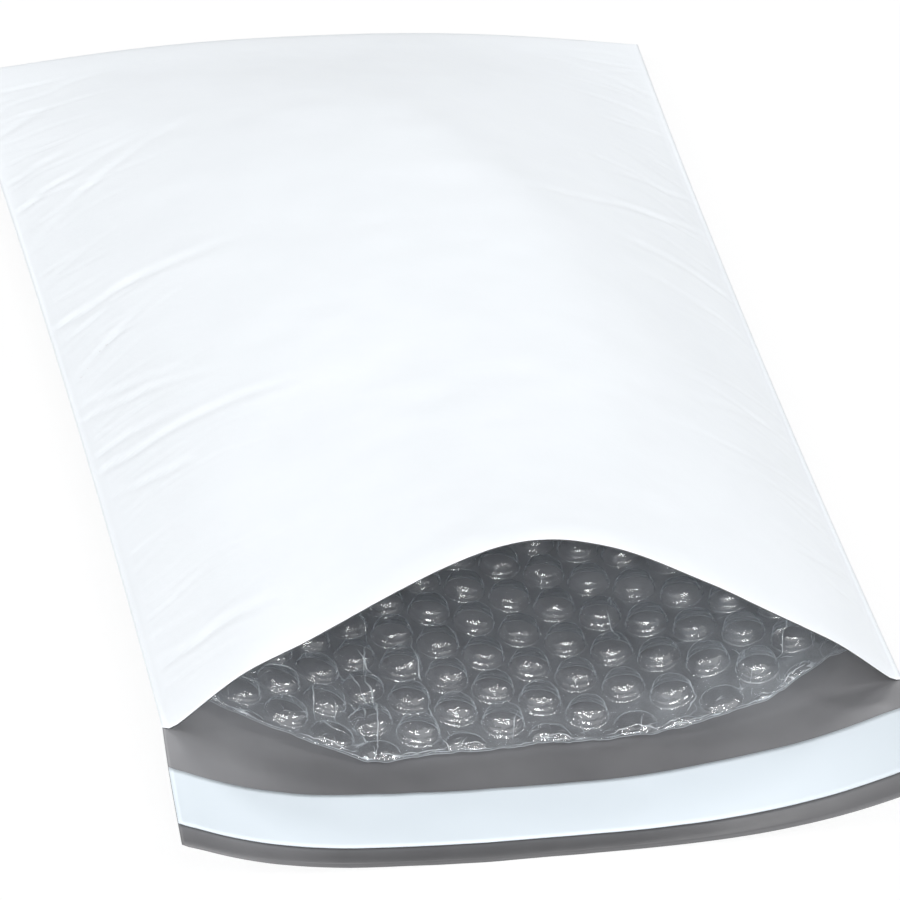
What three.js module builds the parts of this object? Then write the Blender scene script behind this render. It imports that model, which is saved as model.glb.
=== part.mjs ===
// Self-seal padded envelope, lying on its back panel with the mouth held open.
// Millimetres, +Z up, +Y towards the closed fold. The form is worked out with the back panel's
// mouth line on y = 0, and the finished group is moved so that its footprint is centred.
import * as THREE from 'three';
import { mergeVertices } from 'three/addons/utils/BufferGeometryUtils.js';

// Driving dimensions of the product laid flat
const flatWidth = 184;
const pocketDepth = 280;
const flapLength = 34;
const seamWidth = 3.6;

// Film layers, counted inwards from the outside face and drawn thicker than real film
const outerFilm = 0.4;
const backingLayer = { near: 0.8, far: 1.1 };
const bubbleLayer = { near: 1.5, far: 1.8 };
const adhesiveLayer = { near: 0.6, far: 0.8 };
const linerLayer = { near: 1.0, far: 1.25 };

// Air bubbles of the lining, in straight columns along the pouch; every other column lies half a step on
const bubbleStep = { column: 9.55, row: 12.4 };
const firstBubble = { x: -26.8, y: 5.6 };
const bubbleSides = 8;
const bubbleProfile = [
  { radius: 4.5, height: 0 },
  { radius: 3.7, height: 2.5 },
];
const bubbleHeight = 3.6;
const bubbledDepth = { back: 82, front: 46 };

// Adhesive strip and its release liner: distances from the mouth line, share of the flap's width
const linerSpan = { from: 11.0, to: 28.0, reach: 0.998 };
const adhesiveSpan = { from: 12.6, to: 26.2, reach: 0.988 };
const flapMiddle = 19.5;

// Opened shape in plan view
const foldHalfWidth = flatWidth / 2 - 1;
const mouthHalfWidth = 82.3;
const flapEndHalfWidth = 88.1;
const sideBow = 6.7;
const mouthCentreX = -1.1;
const flapEndCentreX = 3.5;

// Opened shape: heights of the side seams above the ground
const leftSeam = { fold: 5.0, mouth: 14.5, flapEnd: 11.4 };
const rightSeam = { fold: 5.5, mouth: 14.0, flapEnd: 18.7 };

// Opened shape: rise of the front panel over its seams
const foldRise = 7.8;
const pillowRise = 27.0;
const mouthLift = 8.5;
const peakShare = -0.067;
const peakRounding = 0.155;
const flankSag = { left: 0.3, right: 0.55 };
const cornerBulge = { left: 0.07, right: 0.03, share: 0.84, reach: 0.15 };
const archPullBack = 2.6;

// The lining stops short of the welds, more so at the thin folded end
const liningMargin = { mouth: 3, fold: 11 };
const liningShoulder = 0.8;

const { lerp, clamp } = THREE.MathUtils;
const weldShare = 1 - seamWidth / mouthHalfWidth;
const columnCount = 20;
const foldSteps = 4;
const alongPocket = [0, 0.04, 0.085, 0.135, 0.19, 0.25, 0.32, 0.41, 0.52, 0.64, 0.75, 0.85, 0.93, 1];

// Shares along the length: 1 at the mouth and 0 at the fold, and 0 to 1 along the flap

function openShare(y) {
  return clamp(1 - y / pocketDepth, 0, 1);
}

function flapShare(y) {
  return clamp(-y / flapLength, 0, 1);
}

function easeOut(share) {
  return 1 - (1 - share) ** 3;
}

// Plan view: the pouch narrows towards the arched mouth and the free flap spreads again

function centreX(y) {
  return y >= 0 ? mouthCentreX * openShare(y) : lerp(mouthCentreX, flapEndCentreX, flapShare(y));
}

function halfWidth(y) {
  if (y < 0) {
    return lerp(mouthHalfWidth, flapEndHalfWidth, flapShare(y));
  }
  const t = openShare(y);
  return lerp(foldHalfWidth, mouthHalfWidth, t) - sideBow * t * (1 - t);
}

function seamHeight(seam, y) {
  return y >= 0
    ? lerp(seam.fold, seam.mouth, openShare(y))
    : lerp(seam.mouth, seam.flapEnd, easeOut(flapShare(y)));
}

// Back panel: flat on the ground along its middle, curling up to both seams

function curl(u, flatShare, power) {
  return clamp((u - flatShare) / (1 - flatShare), 0, 1) ** power;
}

function backHeight(u, y) {
  const k = flapShare(y);
  const leftCurl = curl(-u, lerp(0.33, 0.15, k), lerp(2.4, 3.5, k));
  const rightFlat = lerp(lerp(0.3, 0.06, openShare(y)), -0.1, k);
  const rightCurl = curl(u, rightFlat, lerp(1.85, 2.9, k));
  return seamHeight(leftSeam, y) * leftCurl + seamHeight(rightSeam, y) * rightCurl;
}

// Front panel: a pillow near the fold that rises to a rounded tent at the mouth

function pillowProfile(v) {
  return 1 - Math.abs(v) ** 2.4;
}

function tentProfile(v) {
  const onLeft = v < peakShare;
  const reach = onLeft ? 1 + peakShare : 1 - peakShare;
  const sag = onLeft ? flankSag.left : flankSag.right;
  const fall = (d) => Math.hypot(d, peakRounding) - peakRounding + (sag * d * d) / reach;
  return 1 - fall(Math.abs(v - peakShare)) / fall(reach);
}

// Beside the welds the panel leaves steeply, which fills the arch's lower corners
function cornerProfile(v) {
  const height = v < 0 ? cornerBulge.left : cornerBulge.right;
  const distance = (Math.abs(v) - cornerBulge.share) / cornerBulge.reach;
  return height * Math.exp(-distance * distance) * (1 - v ** 8);
}

function archProfile(u, y) {
  const v = clamp(u / weldShare, -1, 1);
  const t = openShare(y);
  return lerp(pillowProfile(v), tentProfile(v), t ** 5) + cornerProfile(v) * t ** 3;
}

function panelRise(y) {
  const t = openShare(y);
  return foldRise + pillowRise * easeOut(t) + mouthLift * t ** 5;
}

function frontHeight(u, y) {
  if (Math.abs(u) >= weldShare) {
    return backHeight(u, y) + 2 * outerFilm;
  }
  const left = backHeight(-weldShare, y) + 2 * outerFilm;
  const right = backHeight(weldShare, y) + 2 * outerFilm;
  return lerp(left, right, (u / weldShare + 1) / 2) + panelRise(y) * archProfile(u, y);
}

// Points of a layer that lies the given depth inside the outside face

function foldRadius(u) {
  return (frontHeight(u, pocketDepth) - backHeight(u, pocketDepth)) / 2;
}

function panelEnd(u) {
  return pocketDepth - foldRadius(u);
}

function backPoint(u, y, depth) {
  return new THREE.Vector3(centreX(y) + halfWidth(y) * u, y, backHeight(u, y) + depth);
}

function frontPoint(u, y, depth) {
  const pull = archPullBack * archProfile(u, y) ** 2 * openShare(y) ** 6;
  return new THREE.Vector3(centreX(y) + halfWidth(y) * u, y + pull, frontHeight(u, y) - depth);
}

function foldPoint(u, angle, depth) {
  const y = panelEnd(u);
  const low = backHeight(u, y);
  const high = frontHeight(u, y);
  const reach = Math.max(foldRadius(u) - depth, 0);
  const rise = Math.max((high - low) / 2 - depth, 0);
  const x = centreX(y) + halfWidth(y) * u;
  return new THREE.Vector3(x, y + reach * Math.cos(angle), (low + high) / 2 + rise * Math.sin(angle));
}

// The same corners seen from the other side, cut into the same triangles
function turnedOver([first, ...rest]) {
  return [first, ...rest.reverse()];
}

// Closed surfaces: a row is a list of points with x increasing, a strip joins two rows

class ClosedSurface {
  constructor() {
    this.corners = [];
  }

  triangle(a, b, c) {
    this.corners.push(a, b, c);
  }

  quad(a, b, c, d) {
    this.triangle(a, b, c);
    this.triangle(a, c, d);
  }

  fan(points) {
    for (let i = 1; i + 1 < points.length; i += 1) {
      this.triangle(points[0], points[i], points[i + 1]);
    }
  }

  strip(lower, upper, turn = (corners) => corners) {
    for (let i = 0; i + 1 < lower.length; i += 1) {
      this.fan(turn([lower[i], lower[i + 1], upper[i + 1], upper[i]]));
    }
  }

  rows(rows, turn) {
    for (let j = 0; j + 1 < rows.length; j += 1) {
      this.strip(rows[j], rows[j + 1], turn);
    }
  }

  // Joins shared corners and drops the triangles that a weld line closes up
  geometry() {
    const soup = new THREE.BufferGeometry().setFromPoints(this.corners);
    const merged = mergeVertices(soup, 1e-4);
    const index = merged.getIndex().array;
    const kept = [];
    for (let i = 0; i < index.length; i += 3) {
      const [a, b, c] = [index[i], index[i + 1], index[i + 2]];
      if (a !== b && b !== c && c !== a) {
        kept.push(a, b, c);
      }
    }
    merged.setIndex(kept);
    merged.computeVertexNormals();
    return merged;
  }
}

// Columns between the welds crowd towards the ridge of the arch and towards the seams
function panelColumns() {
  return Array.from({ length: columnCount + 1 }, (_, i) => {
    const s = (2 * i) / columnCount - 1;
    return weldShare * (s - 0.09 * Math.sin(2 * Math.PI * s));
  });
}

function foldAngles() {
  return Array.from({ length: foldSteps - 1 }, (_, i) => ((i + 1) / foldSteps - 0.5) * Math.PI);
}

// Outer film: flap, back panel and front panel, one sheet folded once and welded along both sides

function outerFilmRows(depth) {
  const columns = [-1, ...panelColumns(), 1];
  const flapPlaces = [flapLength, linerSpan.to, flapMiddle, linerSpan.from, 4.5, 0];
  const flap = flapPlaces.map((place) => columns.map((u) => backPoint(u, -place, depth)));
  const back = alongPocket.map((s) => columns.map((u) => backPoint(u, s * panelEnd(u), depth)));
  const fold = foldAngles().map((angle) => columns.map((u) => foldPoint(u, angle, depth)));
  const front = alongPocket.map((s) => columns.map((u) => frontPoint(u, s * panelEnd(u), depth)));
  return { flap, back, fold, front: front.reverse() };
}

function makeOuterFilm() {
  const surface = new ClosedSurface();
  const outside = outerFilmRows(0);
  const inside = outerFilmRows(outerFilm);
  const betweenWelds = (row) => row.slice(1, -1);

  const outsideRows = [...outside.flap, ...outside.back.slice(1), ...outside.fold, ...outside.front];
  surface.rows(outsideRows, turnedOver);
  surface.rows(inside.flap);
  surface.rows([...inside.back, ...inside.fold, ...inside.front].map(betweenWelds));

  const mouthLine = inside.flap.at(-1);
  const frontLip = betweenWelds(inside.front.at(-1));
  surface.strip(outside.flap[0], inside.flap[0]);
  surface.strip([mouthLine[0], ...frontLip, mouthLine.at(-1)], outside.front.at(-1));
  addSide(surface, outside, inside, 0);
  addSide(surface, outside, inside, -1);
  return surface.geometry();
}

// Edge of the film at the first or last column, from the flap's end round the fold
function addSide(surface, outside, inside, column) {
  const at = (row) => row.at(column);
  const addFace = (points) => surface.fan(column === 0 ? points : turnedOver(points));
  for (let j = 0; j + 1 < outside.flap.length; j += 1) {
    addFace([outside.flap[j], inside.flap[j], inside.flap[j + 1], outside.flap[j + 1]].map(at));
  }
  const front = [...outside.front].reverse();
  for (let j = 0; j + 1 < outside.back.length; j += 1) {
    const mouthCorner = j === 0 ? [inside.flap.at(-1)] : [];
    const corners = [outside.back[j + 1], outside.back[j], ...mouthCorner, front[j], front[j + 1]];
    addFace(corners.map(at));
  }
  addFace([outside.back.at(-1), outside.front[0], ...[...outside.fold].reverse()].map(at));
}

// Thin films: each spot is a pair of points, one on each face of the film

class ThinFilm extends ClosedSurface {
  constructor() {
    super();
    this.openEdges = new Map();
  }

  // The face towards the outside of the envelope
  addRear(spots) {
    this.fan(turnedOver(spots.map((spot) => spot.near)));
    spots.forEach((spot, i) => this.noteEdge(spot, spots[(i + 1) % spots.length]));
  }

  addBoth(spots) {
    this.fan(spots.map((spot) => spot.far));
    this.addRear(spots);
  }

  noteEdge(from, to) {
    if (from.key !== to.key && !this.openEdges.delete(`${to.key} ${from.key}`)) {
      this.openEdges.set(`${from.key} ${to.key}`, [from, to]);
    }
  }

  layRows(rows) {
    for (let j = 0; j + 1 < rows.length; j += 1) {
      for (let i = 0; i + 1 < rows[j].length; i += 1) {
        this.addBoth([rows[j][i], rows[j][i + 1], rows[j + 1][i + 1], rows[j + 1][i]]);
      }
    }
  }

  // Joins two rows that need not have the same number of spots
  layBetween(lower, upper) {
    const nextX = (row, i) => (i + 1 < row.length ? row[i + 1].near.x : Infinity);
    let i = 0;
    let j = 0;
    while (i + 1 < lower.length || j + 1 < upper.length) {
      if (nextX(lower, i) <= nextX(upper, j)) {
        this.addBoth([lower[i], lower[i + 1], upper[j]]);
        i += 1;
      } else {
        this.addBoth([lower[i], upper[j + 1], upper[j]]);
        j += 1;
      }
    }
  }

  closed() {
    this.openEdges.forEach(([from, to]) => this.quad(from.near, to.near, to.far, from.far));
    return this.geometry();
  }
}

function makeSpot(pointAt, layer) {
  const near = pointAt(layer.near);
  const key = near.toArray().map((value) => value.toFixed(3)).join();
  return { near, far: pointAt(layer.far), key };
}

// Lining: folded once inside the outer film, its two open edges cut back from the mouth

function liningShare(y) {
  const margin = lerp(liningMargin.fold, liningMargin.mouth, Math.sqrt(openShare(y)));
  return weldShare - margin / halfWidth(y);
}

// The same columns as the outer film, so that the layers stay parallel, and two more at each side
function liningColumns(y) {
  const middle = panelColumns().filter((u) => Math.abs(u) < liningShoulder - 0.03);
  const side = [liningShoulder, liningShare(y)];
  return [...side.map((u) => -u).reverse(), ...middle, ...side];
}

const panels = {
  back: { point: backPoint, edge: (u) => 0.8 + 14 * curl(Math.abs(u), 0.35, 1.4) },
  front: { point: frontPoint, edge: (u) => 6 + 7 * u * u },
};

function liningEdgeRow(panel, layer) {
  return liningColumns(0).map((u) => makeSpot((depth) => panel.point(u, panel.edge(u), depth), layer));
}

function liningRows(panel, layer, clearOfMouth) {
  return alongPocket.filter((s) => s * pocketDepth > clearOfMouth).map((s) => (
    liningColumns(s * pocketDepth).map((u) => (
      makeSpot((depth) => panel.point(u, s * panelEnd(u), depth), layer)))));
}

function liningFoldRows(layer) {
  return foldAngles().map((angle) => (
    liningColumns(pocketDepth).map((u) => makeSpot((depth) => foldPoint(u, angle, depth), layer))));
}

function makeBackingFilm() {
  const film = new ThinFilm();
  const clearOfMouth = 20;
  film.layRows([
    liningEdgeRow(panels.back, backingLayer),
    ...liningRows(panels.back, backingLayer, clearOfMouth),
    ...liningFoldRows(backingLayer),
    ...liningRows(panels.front, backingLayer, clearOfMouth).reverse(),
    liningEdgeRow(panels.front, backingLayer),
  ]);
  return film.closed();
}

// Bubble film: one hexagonal cell for each bubble, cut off along the lining's edges

const bubbleAreas = {
  back: { ...panels.back, end: bubbledDepth.back, share: (x, y) => x / halfWidth(y), turn: (list) => list },
  front: {
    ...panels.front,
    end: bubbledDepth.front,
    share: (x) => x / foldHalfWidth,
    turn: turnedOver,
  },
};

function bubbleCentres(area) {
  const { column, row } = bubbleStep;
  const firstColumn = Math.floor((-foldHalfWidth - firstBubble.x) / column);
  const lastColumn = Math.ceil((foldHalfWidth - firstBubble.x) / column);
  const centres = [];
  for (let i = firstColumn; i <= lastColumn; i += 1) {
    const start = firstBubble.y - (i % 2 === 0 ? row : row / 2);
    for (let y = start; y < area.end + row; y += row) {
      centres.push({ x: firstBubble.x + i * column, y });
    }
  }
  return centres;
}

// Corners of a cell about its bubble: one on each side and two at each end
function cellCorners() {
  const { column, row } = bubbleStep;
  const side = (column ** 2 + row ** 2 / 4) / (2 * column);
  const end = (column ** 2 - row ** 2 / 4) / (2 * column);
  const half = row / 2;
  return [[side, 0], [end, half], [-end, half], [-side, 0], [-end, -half], [end, -half]];
}

// Moves a place of the pattern that lies off the lining onto the lining's edge
function trim(area, x, y) {
  const limit = liningShare(clamp(y, 0, area.end));
  const u = clamp(area.share(x, y), -limit, limit);
  const trimmedY = clamp(y, area.edge(u), area.end);
  return { u, y: trimmedY, cut: trimmedY !== y || Math.abs(u) === limit };
}

function areaPoint(area, x, y, depth) {
  const { u, y: trimmedY } = trim(area, x, y);
  return area.point(u, trimmedY, depth);
}

function towardsPocket(area, { x, y }) {
  const step = 0.5;
  const across = areaPoint(area, x + step, y, 0).sub(areaPoint(area, x - step, y, 0));
  const along = areaPoint(area, x, y + step, 0).sub(areaPoint(area, x, y - step, 0));
  const normal = across.cross(along).normalize();
  return area === bubbleAreas.front ? normal.negate() : normal;
}

function addBubble(film, area, centre, corners) {
  const normal = towardsPocket(area, centre);
  const ring = ({ radius, height }) => Array.from({ length: bubbleSides }, (_, k) => {
    const angle = ((k + 0.5) / bubbleSides) * 2 * Math.PI;
    const [x, y] = [centre.x + radius * Math.cos(angle), centre.y + radius * Math.sin(angle)];
    return areaPoint(area, x, y, bubbleLayer.far).addScaledVector(normal, height);
  });
  const addFace = (...points) => film.fan(area.turn(points));
  const [base, shoulder] = bubbleProfile.map(ring);
  const top = areaPoint(area, centre.x, centre.y, bubbleLayer.far).addScaledVector(normal, bubbleHeight);
  const outer = corners.map((corner) => corner.far);
  let i = 0;
  let j = 0;
  while (i < outer.length || j < bubbleSides) {
    const from = outer[i % outer.length];
    const foot = base[j % bubbleSides];
    if (i < outer.length && (i + 1) / outer.length <= (j + 1.5) / bubbleSides) {
      addFace(from, outer[(i + 1) % outer.length], foot);
      i += 1;
    } else {
      addFace(from, base[(j + 1) % bubbleSides], foot);
      j += 1;
    }
  }
  for (let k = 0; k < bubbleSides; k += 1) {
    const next = (k + 1) % bubbleSides;
    addFace(base[k], base[next], shoulder[next], shoulder[k]);
    addFace(shoulder[k], shoulder[next], top);
  }
}

function roomForBubble(area, centre) {
  const { u, y } = trim(area, centre.x, centre.y);
  const needed = 2 * (bubbleLayer.far + bubbleHeight) + 0.5;
  return frontHeight(u, y) - backHeight(u, y) > needed;
}

// Drops corners that trimming has laid on each other, and the spikes that it leaves
function openOutline(spots) {
  const kept = spots.filter((spot, i) => {
    const previous = spots.at(i - 1);
    const next = spots[(i + 1) % spots.length];
    return spot.key !== previous.key && previous.key !== next.key;
  });
  return kept.length < spots.length ? openOutline(kept) : kept;
}

function addPlainCell(film, area, outline) {
  const mean = (name) => outline.reduce((sum, spot) => sum + spot[name], 0) / outline.length;
  const hub = makeSpot((depth) => area.point(mean('u'), mean('y'), depth), bubbleLayer);
  outline.forEach((corner, k) => {
    film.addBoth(area.turn([corner, outline[(k + 1) % outline.length], hub]));
  });
}

// Lays the cells of one panel and returns the row of spots along their deep end
function layBubbles(film, area) {
  const corners = cellCorners();
  const deepEnd = new Map();
  bubbleCentres(area).forEach((centre) => {
    const places = corners.map(([x, y]) => trim(area, centre.x + x, centre.y + y));
    if (places.every((place) => place.cut)) {
      return;
    }
    const spots = places.map(({ u, y }) => (
      Object.assign(makeSpot((depth) => area.point(u, y, depth), bubbleLayer), { u, y })));
    if (!places.some((place) => place.cut) && roomForBubble(area, centre)) {
      film.addRear(area.turn(spots));
      addBubble(film, area, centre, spots);
    } else {
      addPlainCell(film, area, openOutline(spots));
    }
    spots.filter((spot) => spot.y === area.end).forEach((spot) => deepEnd.set(spot.key, spot));
  });
  return [...deepEnd.values()].sort((a, b) => a.near.x - b.near.x);
}

function makeBubbleFilm() {
  const film = new ThinFilm();
  const margin = 5;
  const backEnd = layBubbles(film, bubbleAreas.back);
  const frontEnd = layBubbles(film, bubbleAreas.front);
  const rows = [
    ...liningRows(panels.back, bubbleLayer, bubbledDepth.back + margin),
    ...liningFoldRows(bubbleLayer),
    ...liningRows(panels.front, bubbleLayer, bubbledDepth.front + margin).reverse(),
  ];
  film.layBetween(backEnd, rows[0]);
  film.layRows(rows);
  film.layBetween(rows.at(-1), frontEnd);
  return film.closed();
}

// Flap trim: strips that follow the curved flap from side to side

function makeFlapStrip(span, layer) {
  const film = new ThinFilm();
  const columns = [-span.reach, ...panelColumns(), span.reach];
  film.layRows([span.to, flapMiddle, span.from].map((place) => (
    columns.map((u) => makeSpot((depth) => backPoint(u, -place, depth), layer)))));
  return film.closed();
}

// Materials

const materials = {
  outerFilm: new THREE.MeshStandardMaterial({ color: 0xf2f6f8, roughness: 0.38, metalness: 0 }),
  backingFilm: new THREE.MeshStandardMaterial({
    color: 0xb9c0c6, roughness: 0.2, metalness: 0, transparent: true, opacity: 0.35,
  }),
  bubbleFilm: new THREE.MeshStandardMaterial({
    color: 0xc3ccd3, roughness: 0.12, metalness: 0, transparent: true, opacity: 0.45,
  }),
  adhesive: new THREE.MeshStandardMaterial({ color: 0xd9dad2, roughness: 0.5, metalness: 0 }),
  liner: new THREE.MeshStandardMaterial({ color: 0xe3ebf3, roughness: 0.45, metalness: 0 }),
};

// Assembly

const envelope = new THREE.Group();

function addPiece(name, geometry, material) {
  const mesh = new THREE.Mesh(geometry, material);
  mesh.name = name;
  envelope.add(mesh);
}

addPiece('outer_film', makeOuterFilm(), materials.outerFilm);
addPiece('lining_backing_film', makeBackingFilm(), materials.backingFilm);
addPiece('lining_bubble_film', makeBubbleFilm(), materials.bubbleFilm);
addPiece('adhesive_strip', makeFlapStrip(adhesiveSpan, adhesiveLayer), materials.adhesive);
addPiece('release_liner', makeFlapStrip(linerSpan, linerLayer), materials.liner);

const footprint = new THREE.Box3().setFromObject(envelope);
const middle = footprint.getCenter(new THREE.Vector3());
envelope.position.set(-middle.x, -middle.y, -footprint.min.z);

export default envelope;
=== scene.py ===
"""Looks of a self-seal padded envelope that lies on its back panel with the mouth held open.

The shape is worked out in millimetres in the pouch's own frame: the back panel's mouth line is
y = 0, the closed fold is y = 280 and the flap ends at y = -34. Meshes are moved to the row frame
and turned into metres when they are made.
"""

import functools
import math

import bmesh
import bpy
import numpy as np
from mathutils import Matrix, Vector


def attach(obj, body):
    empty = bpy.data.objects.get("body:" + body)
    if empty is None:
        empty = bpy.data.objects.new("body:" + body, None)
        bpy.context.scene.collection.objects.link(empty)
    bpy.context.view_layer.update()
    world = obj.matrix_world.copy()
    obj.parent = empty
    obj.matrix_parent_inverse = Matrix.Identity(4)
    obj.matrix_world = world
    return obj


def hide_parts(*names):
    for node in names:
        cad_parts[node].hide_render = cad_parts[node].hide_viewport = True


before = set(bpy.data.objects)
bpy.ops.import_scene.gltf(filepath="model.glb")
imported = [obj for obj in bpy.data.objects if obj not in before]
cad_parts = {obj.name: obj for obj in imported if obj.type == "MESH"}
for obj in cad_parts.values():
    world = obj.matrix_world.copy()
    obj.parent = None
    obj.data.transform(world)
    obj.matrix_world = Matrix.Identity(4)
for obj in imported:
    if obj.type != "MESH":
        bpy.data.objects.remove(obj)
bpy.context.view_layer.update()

# Product laid flat
POCKET_DEPTH = 280.0
FLAP_LENGTH = 34.0
SEAM_WIDTH = 1.4

# Opened shape in plan view
FOLD_HALF_WIDTH = 90.5
MOUTH_HALF_WIDTH = 82.0
FLAP_END_HALF_WIDTH = 88.1
SIDE_BOW = 6.7
FOLD_CENTRE_X = -0.5
MOUTH_CENTRE_X = -1.4
FLAP_END_CENTRE_X = 3.5
WELD_SHARE = 1 - SEAM_WIDTH / MOUTH_HALF_WIDTH

# Heights of the side seams at the fold, the mouth and the flap's end
LEFT_SEAM = (5.0, 14.5, 11.4)
RIGHT_SEAM = (5.5, 13.4, 18.7)

# Back panel: share of the half width that lies flat and steepness of the curl beyond it. Both are
# given for the pocket and for the flap's end; the flat share on the right also for the mouth.
LEFT_FLAT, LEFT_STEEPNESS = (0.33, 0.15), (2.4, 3.5)
RIGHT_FLAT, RIGHT_STEEPNESS = (0.3, 0.06, -0.1), (1.85, 2.9)

# Rise of the front panel over its seams
FOLD_RISE = 7.8
PILLOW_RISE = 27.0
MOUTH_LIFT = 7.8
PEAK_SHARE = -0.067
PEAK_ROUNDING = 0.155
LEFT_SAG, RIGHT_SAG = 0.32, 0.66
LEFT_BULGE, RIGHT_BULGE = 0.07, 0.03
BULGE_SHARE, BULGE_REACH = 0.84, 0.15
ARCH_PULL_BACK = 2.6

# Layers, counted inwards from the outside face
OUTER_FILM = 0.3
WELD_STACK = 0.64
EDGE_THINNING = 0.75
BACKING_DEPTH = 0.95
BUBBLE_DEPTH = 1.3
PUCKER_ROOM = 0.65
ADHESIVE_LAYER = (0.42, 0.62)
LINER_LAYER = (0.66, 0.84)

# Bubble lining in its own flat coordinates: x across, s along the sheet from mouth to mouth
COLUMN_STEP = 9.567
ROW_STEP = 12.3
COLUMN_LEAN = 0.031
ROW_TILT = 0.034
ROW_FAN = 0.0026
FIRST_BUBBLE = (-26.0, 7.3)
BUBBLE_RADIUS = 4.75
BUBBLE_HEIGHT = 4.5
SHEET_PANEL = 277.0
SHEET_FOLD = 8.0
SHEET_LENGTH = 2 * SHEET_PANEL + SHEET_FOLD
CREASE_X = -37.0
MARGIN_AT_FOLD, MARGIN_AT_MOUTH = 9.0, 2.0
CUT_EDGE = [
    (-78, 18), (-71, 15.5), (-63, 11.9), (-54, 8.7), (-49, 5.5), (-44, 3.0), (-39, -1.2),
    (-35.5, -1.6), (-28, 0.3), (-20, 0.9), (-11, 0.8), (0, 1.4), (12, 1.1), (25, -0.2),
    (31, 0.9), (42, 3.3), (52, 5.7), (59, 10.2), (67, 13.8), (72, 13.5), (78, 15),
]

# Flap trim: distances from the mouth line and share of the flap's half width
LINER_SPAN = (11.2, 28.0)
LINER_REACH = 1.0
ADHESIVE_SPAN = (12.6, 26.2)
ADHESIVE_REACH = 0.985
STRIP_BOW = 0.7

ROW_SHIFT = np.array([-0.310, -123.0, 0.0])
MM = 0.001


def lerp(a, b, t):
    return a + (b - a) * t


def clip01(t):
    return np.clip(t, 0.0, 1.0)


def ease_out(t):
    return 1 - (1 - t) ** 3


def smooth_step(t):
    t = clip01(t)
    return t * t * (3 - 2 * t)


def fade(t, start, length):
    """1 up to the start and 0 from start + length on."""
    return 1 - smooth_step((t - start) / length)


def bell(d):
    return np.exp(-d * d)


# Smooth noise from a seeded table, in the range -1 to 1


@functools.lru_cache(maxsize=None)
def noise_table(seed):
    return np.random.default_rng(seed).uniform(-1, 1, (128, 128))


def smooth_noise(x, y, size, seed):
    """Noise with the given grain size in millimetres; every seed is a pattern of its own."""
    table = noise_table(seed)
    gx, gy = np.asarray(x) / size, np.asarray(y) / size
    ix, iy = np.floor(gx).astype(int), np.floor(gy).astype(int)
    fx, fy = smooth_step(gx - ix), smooth_step(gy - iy)

    def corner(i, j):
        return table[(ix + i) % 128, (iy + j) % 128]

    low = lerp(corner(0, 0), corner(1, 0), fx)
    high = lerp(corner(0, 1), corner(1, 1), fx)
    return lerp(low, high, fy)


# Shares along the length: 1 at the mouth and 0 at the fold, and 0 to 1 along the flap


def open_share(y):
    return clip01(1 - y / POCKET_DEPTH)


def flap_share(y):
    return clip01(-y / FLAP_LENGTH)


def centre_x(y):
    on_flap = lerp(MOUTH_CENTRE_X, FLAP_END_CENTRE_X, flap_share(y))
    on_pocket = lerp(FOLD_CENTRE_X, MOUTH_CENTRE_X, open_share(y))
    return np.where(y < 0, on_flap, on_pocket)


def half_width(y):
    t = open_share(y)
    on_pocket = lerp(FOLD_HALF_WIDTH, MOUTH_HALF_WIDTH, t) - SIDE_BOW * t * (1 - t)
    on_flap = lerp(MOUTH_HALF_WIDTH, FLAP_END_HALF_WIDTH, flap_share(y))
    return np.where(y < 0, on_flap, on_pocket)


def seam_height(seam, y):
    fold, mouth, flap_end = seam
    on_flap = lerp(mouth, flap_end, ease_out(flap_share(y)))
    return np.where(y < 0, on_flap, lerp(fold, mouth, open_share(y)))


# Back panel and flap: flat on the ground along the middle, curling up to both seams


def curl(u, flat_share, power):
    return clip01((u - flat_share) / (1 - flat_share)) ** power


def back_height(u, y):
    k = flap_share(y)
    fold, mouth, flap_end = RIGHT_FLAT
    right_flat = lerp(lerp(fold, mouth, open_share(y)), flap_end, k)
    left = curl(-u, lerp(*LEFT_FLAT, k), lerp(*LEFT_STEEPNESS, k))
    right = curl(u, right_flat, lerp(*RIGHT_STEEPNESS, k))
    return seam_height(LEFT_SEAM, y) * left + seam_height(RIGHT_SEAM, y) * right


# Front panel: a pillow near the fold that rises to a rounded tent at the mouth


def pillow_profile(v):
    return 1 - np.abs(v) ** 2.4


def tent_profile(v):
    on_left = v < PEAK_SHARE
    reach = np.where(on_left, 1 + PEAK_SHARE, 1 - PEAK_SHARE)
    sag = np.where(on_left, LEFT_SAG, RIGHT_SAG)

    def fall(d):
        return np.hypot(d, PEAK_ROUNDING) - PEAK_ROUNDING + sag * d * d / reach

    return 1 - fall(np.abs(v - PEAK_SHARE)) / fall(reach)


def corner_profile(v):
    """Beside the welds the panel leaves steeply, which fills the arch's lower corners."""
    height = np.where(v < 0, LEFT_BULGE, RIGHT_BULGE)
    return height * bell((np.abs(v) - BULGE_SHARE) / BULGE_REACH) * (1 - v**8)


def arch_profile(u, y):
    v = np.clip(u / WELD_SHARE, -1, 1)
    t = open_share(y)
    return lerp(pillow_profile(v), tent_profile(v), t**5) + corner_profile(v) * t**3


def panel_rise(y):
    t = open_share(y)
    return FOLD_RISE + PILLOW_RISE * ease_out(t) + MOUTH_LIFT * t**5


def edge_thinning(u, y):
    """Share of the full thickness that the film keeps towards the welded sides and the flap's end."""
    side = clip01((np.abs(u) - WELD_SHARE) / (1 - WELD_SHARE))
    end = clip01(-y - FLAP_LENGTH + 1)
    return 1 - EDGE_THINNING * np.maximum(side, end)


def front_height(u, y):
    left = back_height(-WELD_SHARE, y)
    right = back_height(WELD_SHARE, y)
    span = lerp(left, right, (u / WELD_SHARE + 1) / 2) + panel_rise(y) * arch_profile(u, y)
    return WELD_STACK * edge_thinning(u, y) + np.where(np.abs(u) >= WELD_SHARE, back_height(u, y), span)


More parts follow.
